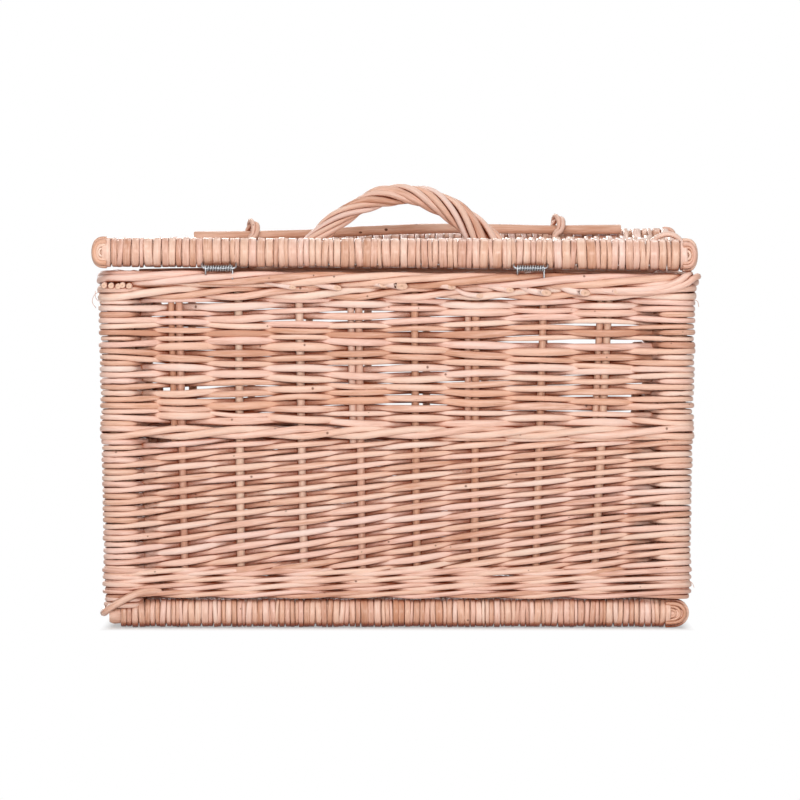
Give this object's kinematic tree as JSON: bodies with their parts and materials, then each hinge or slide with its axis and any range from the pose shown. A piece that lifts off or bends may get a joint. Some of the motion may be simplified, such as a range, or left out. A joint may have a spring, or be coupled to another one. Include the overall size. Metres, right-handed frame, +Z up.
{
  "type": "wicker pet carrier",
  "caption": "Rectangular woven willow pet carrier with a barred front window, a lid on wire hinges, a twisted handle and a rod-and-loop latch.",
  "frame": {"origin": "On the floor under the middle of the carrier's bounding box.", "axes": "+X along the length, to the right when facing the hinge side; +Y from the hinge side to the barred front; +Z up."},
  "size_m": [0.5, 0.3674, 0.3695],
  "materials": {
    "willow": "woven buff willow, satin",
    "peeled_stick": "peeled buff willow stick, satin",
    "wire": "grey galvanised wire"
  },
  "bodies": {
    "basket": {"base_rail_back": "peeled_stick", "base_rail_front": "peeled_stick", "base_stick_1": "peeled_stick", "base_stick_2": "peeled_stick", "base_stick_3": "peeled_stick", "base_stick_4": "peeled_stick", "corner_post_back_left": "peeled_stick", "corner_post_back_right": "peeled_stick", "corner_post_front_left": "peeled_stick", "corner_post_front_right": "peeled_stick", "back_stake_1": "peeled_stick", "back_stake_2": "peeled_stick", "back_stake_3": "peeled_stick", "back_stake_4": "peeled_stick", "back_stake_5": "peeled_stick", "back_stake_6": "peeled_stick", "back_stake_7": "peeled_stick", "back_stake_8": "peeled_stick", "front_stake_1": "peeled_stick", "front_stake_2": "peeled_stick", "front_stake_3": "peeled_stick", "front_stake_4": "peeled_stick", "front_stake_5": "peeled_stick", "front_stake_6": "peeled_stick", "front_stake_7": "peeled_stick", "front_stake_8": "peeled_stick", "left_stake_1": "peeled_stick", "left_stake_2": "peeled_stick", "left_stake_3": "peeled_stick", "left_stake_4": "peeled_stick", "left_stake_5": "peeled_stick", "right_stake_1": "peeled_stick", "right_stake_2": "peeled_stick", "right_stake_3": "peeled_stick", "right_stake_4": "peeled_stick", "right_stake_5": "peeled_stick", "base_weave": "willow", "back_wall_weave": "willow", "left_wall_weave": "willow", "right_wall_weave": "willow", "front_wall_weave": "willow", "front_top_wale": "willow", "rim_border": "willow", "latch_loop_left": "willow", "latch_loop_right": "willow", "hinge_coil_left": "wire", "hinge_coil_right": "wire"},
    "lid": {"lid_rail_back": "peeled_stick", "lid_rail_front": "peeled_stick", "lid_stick_1": "peeled_stick", "lid_stick_2": "peeled_stick", "lid_stick_3": "peeled_stick", "lid_stick_4": "peeled_stick", "lid_weave": "willow", "handle": "willow", "hinge_link_left": "wire", "hinge_link_right": "wire"},
    "lock_rod": {"lock_rod": "peeled_stick"}
  },
  "joints": [
    {"name": "lid_hinge", "type": "hinge", "parent": "basket", "child": "lid", "pos_m": [0, -0.1819, 0.2975], "axis": [1, 0, 0], "range_deg": [0, 120], "deforming": ["latch_loop_left", "latch_loop_right"]},
    {"name": "rod_slide", "type": "slide", "parent": "lid", "child": "lock_rod", "axis": [0.9999, 0, 0.0167], "range_m": [0, 0.335]}
  ]
}
